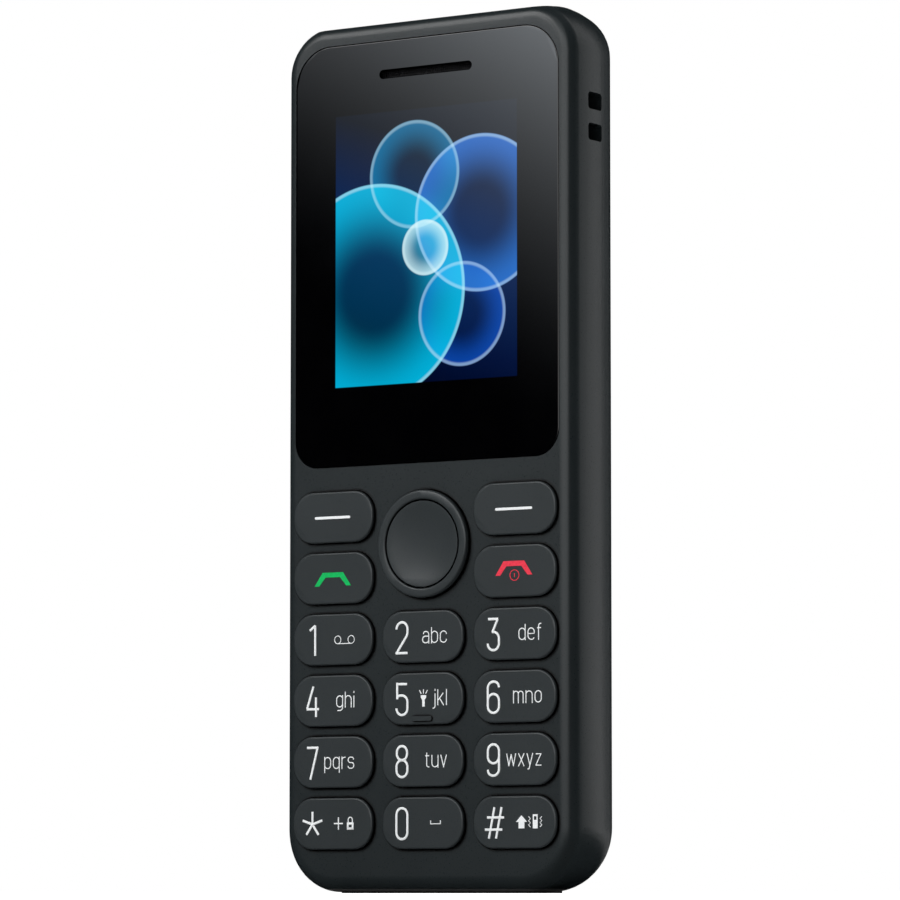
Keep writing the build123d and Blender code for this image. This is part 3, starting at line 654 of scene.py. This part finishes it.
def strokes_mesh(strokes, width, material):
    """Strokes are lists of (x, y) or (x, y, corner radius) in millimetres.
    A closed one ends in its first point."""
    points = []
    edges = []
    corners = []
    for count, stroke in enumerate(strokes):
        closed = stroke[0] == stroke[-1]
        chain = stroke[:-1] if closed else stroke
        first = len(points)
        for x, y, *radius in chain:
            points.append((x * MM, y * MM, count * stroke_lift * MM))
            corners.append(radius[0] * MM if radius else 0.0)
        edges += [(first + step, first + step + 1) for step in range(len(chain) - 1)]
        if closed:
            edges.append((len(points) - 1, first))
    carrier = bpy.data.meshes.new("strokes")
    carrier.from_pydata(points, edges, [])
    carrier.attributes.new("corner", "FLOAT", "POINT").data.foreach_set("value", corners)
    return made_by(printed_strokes, carrier, {
        "Stroke Width": width * MM, "Ink Depth": ink_depth, "Corner Steps": corner_steps, "Ink": material,
    })


# Centre lines of the digits: 1.68 wide and 3.88 high, from the digit's lower left corner
wide = 1.68
tall = 3.88
bend = wide / 2


def loop(left, low, right, high, radius):
    """A closed rounded rectangle."""
    corners = [(left, low, radius), (right, low, radius), (right, high, radius), (left, high, radius)]
    return corners + corners[:1]


def star_arms(reach):
    middle = (wide / 2, tall / 2)
    angles = [math.radians(90 + 72 * arm) for arm in range(5)]
    return [[middle, (middle[0] + reach * math.cos(a), middle[1] + reach * math.sin(a))] for a in angles]


digit_strokes = {
    "0": [loop(0, 0, wide, tall, bend)],
    "1": [[(1.2, 0), (1.2, tall)], [(1.2, tall - 0.05), (0.35, 3.2)]],
    "2": [
        [(0, 3.0), (0, tall, bend), (wide, tall, bend), (wide, 2.3, 1.2), (0, 0)], [(-0.15, 0), (wide, 0)],
    ],
    "3": [
        [(0.05, tall), (1.55, tall)], [(1.5, tall), (0.72, 2.3)],
        [(0.62, 2.28), (wide, 2.28, bend), (wide, 0, bend), (0, 0, bend), (0, 0.85)],
    ],
    "4": [[(0.95, tall), (-0.05, 1.05)], [(-0.12, 1.0), (1.82, 1.0)], [(1.35, 2.5), (1.35, 0)]],
    "5": [
        [(1.6, tall), (0.1, tall)], [(0.1, tall + 0.2), (0.1, 2.0)],
        [(0.1, 2.0), (0.1, 2.45, 0.55), (wide, 2.45, bend), (wide, 0, bend), (0, 0, bend), (0, 0.85)],
    ],
    "6": [loop(0, 0, wide, 2.35, bend), [(0, 1.2), (0, tall, bend), (wide, tall, bend), (wide, 3.15)]],
    "7": [[(-0.05, tall), (wide, tall)], [(wide - 0.02, tall + 0.15), (0.5, -0.15)]],
    "8": [loop(0, 0, wide, 2.12, bend), loop(0.06, 2.12, wide - 0.06, tall, bend - 0.06)],
    "9": [loop(0, 1.53, wide, tall, bend), [(wide, 2.7), (wide, 0, bend), (0, 0, bend), (0, 0.75)]],
    "star": star_arms(1.62),
    "hash": [
        [(0.15, 0), (0.98, tall)], [(1.22, 0), (2.05, tall)],
        [(-0.45, 1.1), (2.15, 1.1)], [(-0.12, 2.6), (2.42, 2.6)],
    ],
}

# Centre lines of the small letters, from the start of the base line
letter = 0.93
x_height = 1.4
ascender = 1.92
descender = -0.45
over = x_height + 0.1
under = -0.1
bowl = letter / 2
left_bowl = [
    (letter, 0.45), (letter, 0, bowl), (0, 0, bowl),
    (0, x_height, bowl), (letter, x_height, bowl), (letter, 0.95),
]
right_bowl = [(letter - x, y, *radius) for x, y, *radius in left_bowl]
arch = [(0, 0.9), (0, x_height, bowl), (letter, x_height, bowl), (letter, 0)]

letter_strokes = {
    "a": [
        [(0.1, 1.08), (0.1, x_height, 0.4), (letter, x_height, 0.4), (letter, under)],
        [(letter, 0.82), (0, 0.82, 0.38), (0, 0, 0.38), (letter, 0, 0.38), (letter, 0.4)],
    ],
    "b": [[(0, under), (0, ascender)], right_bowl],
    "c": [[
        (letter, 1.0), (letter, x_height, bowl), (0, x_height, bowl),
        (0, 0, bowl), (letter, 0, bowl), (letter, 0.4),
    ]],
    "d": [[(letter, under), (letter, ascender)], left_bowl],
    "e": [[
        (0, 0.72), (letter, 0.72), (letter, x_height, bowl), (0, x_height, bowl),
        (0, 0, bowl), (0.85, 0, 0.3), (0.88, 0.22),
    ]],
    "f": [[(0.22, under), (0.22, ascender, 0.3), (0.62, ascender)], [(0, x_height), (0.58, x_height)]],
    "g": [left_bowl, [(letter, over), (letter, descender, 0.42), (0.1, descender)]],
    "h": [[(0, under), (0, ascender)], [*arch[:-1], (letter, under)]],
    "i": [[(0, under), (0, x_height)], [(0, 1.72), (0, 1.98)]],
    "j": [[(0.36, x_height), (0.36, descender, 0.3), (0, descender)], [(0.36, 1.72), (0.36, 1.98)]],
    "k": [[(0, under), (0, ascender)], [(0.84, x_height + 0.05), (0, 0.5)], [(0.3, 0.75), (0.9, under)]],
    "l": [[(0, under), (0, ascender)]],
    "m": [
        [(0, under), (0, over)],
        [(0, 0.9), (0, x_height, 0.36), (0.72, x_height, 0.36), (0.72, under)],
        [(0.72, 0.9), (0.72, x_height, 0.36), (1.44, x_height, 0.36), (1.44, under)],
    ],
    "n": [[(0, under), (0, over)], [*arch[:-1], (letter, under)]],
    "o": [loop(0, 0, letter, x_height, bowl)],
    "p": [[(0, descender + under), (0, over)], right_bowl],
    "q": [[(letter, descender + under), (letter, over)], left_bowl],
    "r": [[(0, under), (0, over)], [(0, 0.9), (0, x_height, 0.42), (0.55, x_height)]],
    "s": [[
        (0.84, 1.1), (0.84, x_height, 0.38), (0, x_height, 0.36), (0, 0.74, 0.34), (0.88, 0.7, 0.34),
        (0.88, 0, 0.4), (0, 0, 0.4), (0, 0.3),
    ]],
    "t": [[(0.22, 1.8), (0.22, 0, 0.28), (0.6, 0)], [(0, x_height), (0.58, x_height)]],
    "u": [
        [(0, over), (0, 0, bowl), (letter, 0, bowl), (letter, 0.5)],
        [(letter, under), (letter, over)],
    ],
    "v": [[(0, over), (0.46, -0.08)], [(0.4, -0.08), (0.86, over)]],
    "w": [
        [(0, over), (0.36, -0.08)], [(0.32, -0.08), (0.7, x_height)],
        [(0.66, x_height), (1.04, -0.08)], [(1.0, -0.08), (1.36, over)],
    ],
    "x": [[(0, under), (0.84, over)], [(0, over), (0.84, under)]],
    "y": [[(0, over), (0.46, -0.05)], [(0.86, over), (0.32, descender, 0.15), (0.1, descender)]],
    "z": [[(0.02, x_height), (0.84, x_height)], [(0.8, x_height), (0.04, 0)], [(0, 0), (0.86, 0)]],
}


def word_strokes(word):
    """The strokes of a word, ending at zero on its right, and standing on the base line."""
    strokes = []
    start = 0.0
    for character in word:
        glyph = letter_strokes[character]
        strokes += [[(x + start, y, *radius) for x, y, *radius in stroke] for stroke in glyph]
        start += max(point[0] for stroke in glyph for point in stroke) + letter_gap
    return [[(x - start + letter_gap, y, *radius) for x, y, *radius in stroke] for stroke in strokes]


def shifted(strokes, across, up):
    return [[(x + across, y + up, *radius) for x, y, *radius in stroke] for stroke in strokes]


def filled_mesh(outlines, material):
    """Solid printed shapes from outlines in millimetres."""
    shape = bmesh.new()
    for outline in outlines:
        face = shape.faces.new([shape.verts.new((x * MM, y * MM, -ink_depth / 2)) for x, y in outline])
        raised = bmesh.ops.extrude_face_region(shape, geom=[face])["geom"]
        top = [part for part in raised if isinstance(part, bmesh.types.BMVert)]
        bmesh.ops.translate(shape, verts=top, vec=(0, 0, ink_depth))
    bmesh.ops.recalc_face_normals(shape, faces=shape.faces)
    mesh = bpy.data.meshes.new("filled")
    shape.to_mesh(mesh)
    shape.free()
    mesh.materials.append(material)
    return mesh


def print_on(key, meshes, material):
    """Joins printed meshes and lays them on a key's top."""
    low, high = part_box(key)
    top = Vector(((low[0] + high[0]) / 2, key_tops, (low[2] + high[2]) / 2))
    joined = bmesh.new()
    for mesh in meshes:
        joined.from_mesh(mesh)
    bmesh.ops.recalc_face_normals(joined, faces=joined.faces)
    printed = bpy.data.meshes.new(key + "_print")
    joined.to_mesh(printed)
    joined.free()
    printed.transform(Matrix.Translation(top) @ Matrix.Rotation(math.pi / 2, 4, "X"))
    add_piece(key + "_print", printed, body_of_node[key], material)


def pill_outline(left, right, middle, thickness):
    """A bar with round ends."""
    radius = thickness / 2
    turns = [math.radians(90 + 180 * step / corner_steps) for step in range(corner_steps + 1)]
    left_end = [(left + radius + radius * math.cos(a), middle + radius * math.sin(a)) for a in turns]
    right_end = [(right - radius - radius * math.cos(a), middle - radius * math.sin(a)) for a in turns]
    return left_end + right_end


handset_shares = ((0, 0), (0.22, 1), (0.78, 1), (1, 0), (0.87, 0), (0.7, 0.64), (0.3, 0.64), (0.13, 0))


def handset_outline(left, right, low, high):
    """A lying handset drawn with straight lines."""
    return [(left + (right - left) * x, low + (high - low) * y) for x, y in handset_shares]


def box_outline(left, low, right, high):
    return [(left, low), (right, low), (right, high), (left, high)]


# What each number key carries on its right: a word, or small signs. The signs are (stroke width, strokes)
# and filled outlines, from the middle of the key.
words = {
    "key_2": "abc", "key_3": "def", "key_4": "ghi", "key_5": "jkl",
    "key_6": "mno", "key_7": "pqrs", "key_8": "tuv", "key_9": "wxyz",
}
word_ends = {"left": 3.35, "middle": 3.7, "right": 4.05}
column_of_key = {
    "key_1": "left", "key_4": "left", "key_7": "left", "key_star": "left",
    "key_2": "middle", "key_5": "middle", "key_8": "middle", "key_0": "middle",
    "key_3": "right", "key_6": "right", "key_9": "right", "key_hash": "right",
}
wave_width = 0.28
wave_rise = 0.26
wave_points = 6
sign_strokes = {
    "key_1": [(fine_stroke, [
        loop(0.31, -0.56, 1.3, 0.43, 0.495), loop(2.4, -0.56, 3.39, 0.43, 0.495),
        [(0.8, -0.56), (2.9, -0.56)],
    ])],
    "key_5": [(0.13, [
        [(0.19, 0.62), (0.19, 1.15)], [(-0.15, 0.6), (-0.42, 1.05)], [(0.53, 0.6), (0.8, 1.05)],
    ])],
    "key_star": [
        (0.17, [[(0.96, -0.75), (0.96, 0.8)], [(0.26, 0.02), (1.66, 0.02)]]),
        (0.4, [[(2.42, -0.62), (3.19, -0.62), (3.19, 0.02), (2.42, 0.02), (2.42, -0.62)]]),
        (0.14, [[(2.48, 0.15), (2.48, 0.8, 0.33), (3.13, 0.8, 0.33), (3.13, 0.15)]]),
    ],
    "key_0": [(0.16, [[(1.28, 0.29), (1.28, -0.12), (2.77, -0.12), (2.77, 0.29)]])],
    "key_hash": [(0.11, [
        [(2.4 - wave_width * (step % 2), -0.62 + wave_rise * step) for step in range(wave_points)],
        [(3.82 + wave_width * (step % 2), -0.62 + wave_rise * step) for step in range(wave_points)],
    ])],
}
sign_fills = {
    "key_5": [[
        (0.0, -1.02), (0.38, -1.02), (0.38, -0.15), (0.6, 0.12),
        (0.6, 0.42), (-0.22, 0.42), (-0.22, 0.12), (0.0, -0.15),
    ]],
    "key_hash": [
        [(0.25, 0.02), (0.64, 0.02), (0.64, -0.78), (1.5, -0.78), (1.5, 0.02), (1.89, 0.02), (1.07, 0.85)],
        box_outline(2.75, -0.8, 3.47, 0.25), box_outline(2.75, 0.25, 2.92, 0.95),
        box_outline(3.3, 0.25, 3.47, 0.95), box_outline(2.92, 0.72, 3.3, 0.95),
    ],
}
key_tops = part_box("key_2")[0][1] - ink_depth / 2


def print_number_key(key, column):
    digit = digit_strokes[key.removeprefix("key_")]
    placed = shifted(digit, digit_offset - wide / 2, -digit_drop - tall / 2)
    meshes = [strokes_mesh(placed, digit_stroke, ink_white)]
    if key in words:
        word = shifted(word_strokes(words[key]), word_ends[column], -letter_drop)
        meshes.append(strokes_mesh(word, letter_stroke, ink_white))
    for width, strokes in sign_strokes.get(key, ()):
        meshes.append(strokes_mesh(strokes, width, ink_white))
    if key in sign_fills:
        meshes.append(filled_mesh(sign_fills[key], ink_white))
    print_on(key, meshes, ink_white)


# Signs of the four upper keys, from the middle of the key: the bar has its ends, middle and thickness, and
# the handsets have their left, right, low and high edges
soft_bar = pill_outline(-2.83, 2.72, -0.04, 0.33)
call_handset = handset_outline(-2.86, 2.85, -0.98, 0.74)
end_handset = handset_outline(-2.79, 2.73, -0.55, 1.23)
power_sign = [loop(-0.6, -1.2, 0.74, 0.1, 0.66), [(0.07, -0.8), (0.07, -0.3)]]

for number_key, key_column in column_of_key.items():
    print_number_key(number_key, key_column)
for soft_key in ("soft_key_left", "soft_key_right"):
    print_on(soft_key, [filled_mesh([soft_bar], ink_white)], ink_white)
print_on("call_key", [filled_mesh([call_handset], ink_green)], ink_green)
print_on("end_key", [
    filled_mesh([end_handset], ink_red), strokes_mesh(power_sign, fine_stroke, ink_red),
], ink_red)


def screen_tree():
    """A screen of crossing wires."""
    nodes, given = new_tree("wire screen", {
        "Carrier": "Geometry", "Width": "Float", "Height": "Float", "Columns": "Int", "Rows": "Int",
        "Wire Radius": "Float", "Wire Sides": "Int", "Metal": "Material",
    }, "Screen")
    grid = nodes.node("GeometryNodeMeshGrid", None, {
        "Size X": given["Width"], "Size Y": given["Height"],
        "Vertices X": given["Columns"], "Vertices Y": given["Rows"],
    })
    wires = nodes.node("GeometryNodeMeshToCurve", None, {"Mesh": grid})
    section = nodes.node(
        "GeometryNodeCurvePrimitiveCircle", None,
        {"Resolution": given["Wire Sides"], "Radius": given["Wire Radius"]},
    )
    tubes = nodes.node("GeometryNodeCurveToMesh", None, {"Curve": wires, "Profile Curve": section})
    return finished_tree(nodes, "Screen", tubes, given["Metal"])


# Sound meshes: the wires' radius as a share of the mesh's depth, how far they stay from its sides and its
# ends, and how far apart they are
wire_screen = screen_tree()
wire_share = 0.48
wire_sides = 6
sound_meshes = {"earpiece_mesh": (0.6, 0.3, 0.3), "speaker_mesh": (0.3, 0.3, 0.4)}


def screen_piece(node, side_inset, end_inset, spacing):
    """Stands for a sound mesh: woven wires in the same place."""
    low, high = (Vector(corner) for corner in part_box(node))
    middle = (low + high) / 2
    width = high.x - low.x - 2 * side_inset * MM
    height = high.z - low.z - 2 * end_inset * MM
    mesh = made_by(wire_screen, bpy.data.meshes.new(node + "_carrier"), {
        "Width": width, "Height": height,
        "Columns": round(width / spacing / MM) + 1, "Rows": round(height / spacing / MM) + 1,
        "Wire Radius": (high.y - low.y) * wire_share, "Wire Sides": wire_sides, "Metal": mesh_black,
    })
    mesh.transform(Matrix.Translation(middle) @ Matrix.Rotation(math.pi / 2, 4, "X"))
    piece = add_piece(node + "_wires", mesh, body_of_node[node], mesh_black)
    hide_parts(node)


for node, sizes in sound_meshes.items():
    screen_piece(node, *sizes)

for node, slot in slot_of_node.items():
    give_finish(nodes_of_phone[node], finish_of_slot[slot])

# The outer nodes that are shown by smooth copies
smooth_nodes = (
    "front_shell", "rear_cover", "screen_lens", "nav_ring", "centre_key",
    *words, "key_1", "key_star", "key_0", "key_hash",
    "soft_key_left", "soft_key_right", "call_key", "end_key",
)
for node in smooth_nodes:
    smooth_copy(node)


# Studio: pale floor, white surroundings, soft lamps, and cards and a dark tent that only glossy surfaces show
ambient_level = 0.16
floor_reach = 3000.0
floor_near = 20.0
floor_far = 260.0
fibre_size = 2.0

# The card in the lens: its left, right, low and high edges, and how its light falls off, per metre of the
# lens, below and left of one place
card_edges = (-345.0, -205.0, 60.0, 225.0)
card_depth = -400.0
card_top = 108.0
card_right = 20.0
card_fall = 17.5
card_fade = 10.5
card_curve = 3.0
card_level = 3.42
card_tint = (1.0, 1.07, 1.14)

# The card in the round front edges: its edges, and how its light rises from the floor and fades at the sides
front_card_edges = (-360.0, 1000.0, 0.0, 640.0)
front_card_depth = -800.0
front_card_fade_share = 0.2
front_card_rise = 320.0
front_card_foot_share = 0.55
front_card_level = 3.4

# The tent: walls between angles round the phone, counted from its front to its right
tent_radius = 1300.0
tent_height = 3000.0
tent_walls = ((60, 129), (161, 352))
tent_panel = 10
tent_sides = 24
tent_weave = 20.0
tent_tone = (0.002, 0.002, 0.002, 1.0)
cloth_start = 2.0
cloth_height = 0.5
cloth_gap = (132, 162)

# Lamps: place, width, height and power, and whether glossy surfaces show them
lamp_aim = Vector((0.0, 0.0, 55.0))
lamps = {
    "key lamp": ((-450, -780, 650), 600, 600, 8.0, True),
    "side lamp": ((780, 450, 350), 350, 600, 2.7, False),
    "top lamp": ((100, 200, 900), 500, 500, 2.2, False),
}


def seen_directly(nodes):
    """One for rays from the camera, and for those mirrored or let through on the way, else zero."""
    camera, mirrored, through = (
        nodes.node("ShaderNodeLightPath", output=f"Is {kind} Ray")
        for kind in ("Camera", "Glossy", "Transmission")
    )
    return nodes.node("ShaderNodeClamp", None, {"Value": camera + mirrored + through})


def studio_world():
    world = bpy.data.worlds.new("studio")
    scene.world = world
    world.use_nodes = True
    nodes = Nodes(world.node_tree)
    world.node_tree.nodes.clear()
    soft = nodes.node("ShaderNodeBackground", None, {"Color": white, "Strength": ambient_level})
    plain = nodes.node("ShaderNodeBackground", None, {"Color": white, "Strength": 1.0})
    mixed = nodes.node("ShaderNodeMixShader", None, {0: seen_directly(nodes), 1: soft, 2: plain})
    end = world.node_tree.nodes.new("ShaderNodeOutputWorld")
    nodes.feed(end.inputs["Surface"], mixed)


def studio_object(name, points, faces, material):
    """A piece of the studio, which is no part of the phone."""
    mesh = bpy.data.meshes.new(name)
    mesh.from_pydata(points, [], faces)
    thing = bpy.data.objects.new(name, mesh)
    scene.collection.objects.link(thing)
    give_finish(thing, material)
    return thing


def show_in_gloss_only(thing):
    thing.visible_camera = False
    thing.visible_diffuse = False
    thing.visible_shadow = False
    thing.visible_transmission = False


def studio_floor():
    """Pale paper that takes the phone's shadow and turns white further out."""
    finish = Finish("floor paper")
    fibres = finish.noise(fibre_size * MM)
    across, deep, _ = finish.axes()
    away = (across * across + deep * deep) ** 0.5
    # Painted light: the paper glows white for direct and mirrored rays, fading out near the phone, where only
    # the lamps light it
    glow = seen_directly(finish) * finish.between(away, floor_near * MM, floor_far * MM, 0.0, 1.0)
    paper = finish.surface({
        "Base Color": finish.tones(fibres, rgb(224, 224, 224), rgb(230, 230, 230)),
        "Roughness": 0.8,
        "Specular IOR Level": 0.1,
        "Emission Color": finish.tinted(glow),
        "Emission Strength": 1.0,
    })
    reach = floor_reach * MM
    corners = [(-reach, -reach, 0), (reach, -reach, 0), (reach, reach, 0), (-reach, reach, 0)]
    studio_object("floor", corners, [(0, 1, 2, 3)], paper)


def on_circle(radius, turn, height):
    """A point at an angle from the phone's front, counted to its right."""
    return radius * math.sin(turn), -radius * math.cos(turn), height


def dark_tent():
    """Black walls, roof and floor cloth that keep the shell's gloss dark.
    They are open in front and at the right rear."""
    radius = tent_radius * MM
    top = tent_height * MM
    points = []
    panels = []
    for start, end in tent_walls:
        count = round((end - start) / tent_panel)
        for step in range(count + 1):
            turn = math.radians(start + (end - start) * step / count)
            foot = len(points)
            points += [on_circle(radius, turn, height) for height in (0.0, top)]
            if step:
                panels.append((foot - 2, foot, foot + 1, foot - 1))
    for height, inner, gap in ((top, 0.0, (0, 0)), (cloth_height * MM, cloth_start * MM, cloth_gap)):
        first = len(points)
        for step in range(tent_sides):
            turn = 2 * math.pi * step / tent_sides
            points += [on_circle(reach, turn, height) for reach in (inner, radius)]
        for step in range(tent_sides):
            here = first + 2 * step
            there = first + 2 * ((step + 1) % tent_sides)
            if not gap[0] < 360 * (step + 0.5) / tent_sides < gap[1]:
                panels.append((here, there, there + 1, here + 1))
    finish = Finish("tent cloth")
    cloth = finish.surface({
        "Base Color": finish.tones(finish.noise(tent_weave * MM), black, tent_tone),
        "Roughness": 1.0,
        "Specular IOR Level": 0.0,
    })
    show_in_gloss_only(studio_object("tent", points, panels, cloth))


def lit_card(name, finish, edges, depth, colour, level):
    """An upright card that shines, shown only by glossy surfaces."""
    low_x, high_x, low_z, high_z = (edge * MM for edge in edges)
    deep = depth * MM
    corners = [(low_x, deep, low_z), (high_x, deep, low_z), (high_x, deep, high_z), (low_x, deep, high_z)]
    light = finish.surface({
        "Base Color": black,
        "Specular IOR Level": 0.0,
        "Emission Color": colour,
        "Emission Strength": level,
    })
    show_in_gloss_only(studio_object(name, corners, [(0, 1, 2, 3)], light))


def lens_card():
    """A card left of the camera that the lens mirrors, dark below and bright towards its upper right."""
    finish = Finish("card")
    across, _, up = finish.axes()
    spread = (-camera_place.y - card_depth * MM) / -camera_place.y
    lens_x = (across - camera_place.x) / spread + camera_place.x
    lens_z = up / spread
    level = 1.0 - (card_top * MM - lens_z) * card_fall - (card_right * MM - lens_x) * card_fade
    light = finish.node("ShaderNodeClamp", None, {"Value": level}) ** card_curve
    lit_card("card", finish, card_edges, card_depth, finish.tinted(light, card_tint), card_level)


def front_card():
    """A soft card behind the camera, mirrored in edges that turn to the right."""
    finish = Finish("front card")
    across, _, up = finish.axes()
    left = front_card_edges[0] * MM
    right = front_card_edges[1] * MM
    fade = (right - left) * front_card_fade_share
    light = finish.between(across, left, left + fade, 0.0, 1.0)
    light = light * finish.between(across, right - fade, right, 1.0, 0.0)
    light = light * finish.between(up, 0.0, front_card_rise * MM, front_card_foot_share, 1.0)
    lit_card(
        "front card", finish, front_card_edges, front_card_depth, finish.tinted(light), front_card_level
    )


def lamp(name, place, width, height, power, in_gloss):
    light = bpy.data.lights.new(name, "AREA")
    light.shape = "RECTANGLE"
    light.size = width * MM
    light.size_y = height * MM
    light.energy = power
    holder = bpy.data.objects.new(name, light)
    scene.collection.objects.link(holder)
    holder.location = Vector(place) * MM
    holder.rotation_euler = (lamp_aim - Vector(place)).to_track_quat("-Z", "Y").to_euler()
    holder.visible_glossy = in_gloss


def studio_camera():
    data = bpy.data.cameras.new("camera")
    data.lens = camera_lens
    data.sensor_width = camera_sensor
    data.clip_start = camera_near * MM
    camera = bpy.data.objects.new("camera", data)
    scene.collection.objects.link(camera)
    camera.location = camera_place
    camera.rotation_euler = (math.pi / 2 + camera_rise, 0.0, camera_turn)
    scene.camera = camera


studio_world()
studio_floor()
lens_card()
front_card()
dark_tent()
studio_camera()
for lamp_name, lamp_values in lamps.items():
    lamp(lamp_name, *lamp_values)

scene.view_settings.view_transform = "Standard"
